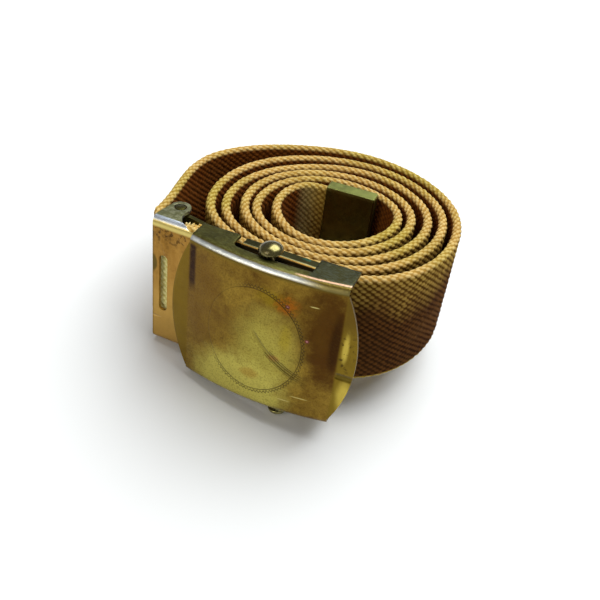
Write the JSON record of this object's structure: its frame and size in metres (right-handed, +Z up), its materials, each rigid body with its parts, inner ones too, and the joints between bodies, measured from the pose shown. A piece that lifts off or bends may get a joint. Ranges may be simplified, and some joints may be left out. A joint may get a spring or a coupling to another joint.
{
  "type": "trouser belt",
  "caption": "Woven cotton trouser belt rolled up on its edge, with a bowed brass box buckle, a clamp with ears and jaw, a loose roller bar and a brass strap tip.",
  "frame": {"origin": "bottom centre of the bounding box, on the surface that the belt stands on", "axes": "+Z up from that surface, +Y from the buckle's face towards the coil, +X to the right as one looks at the face. The belt stands as it would by itself: it leans about 11 degrees on the bar's lower head and the coil's lower rim."},
  "size_m": [0.0746, 0.0724, 0.0457],
  "materials": {
    "cotton_web": "matte",
    "brass": "satin",
    "copper_brass": "satin",
    "dark_brass": "satin"
  },
  "bodies": {
    "belt": {"webbing": "cotton_web", "end_tip": "dark_brass", "face_plate": "brass", "clamp_frame": "copper_brass", "clamp_jaw": "dark_brass"},
    "bar": {"roller_bar": "brass"}
  },
  "joints": [
    {"name": "bar_slide", "type": "slide", "parent": "belt", "child": "bar", "axis": [0.9891, 0.0187, 0.1462], "range_m": [-0.0065, 0.0026]}
  ]
}
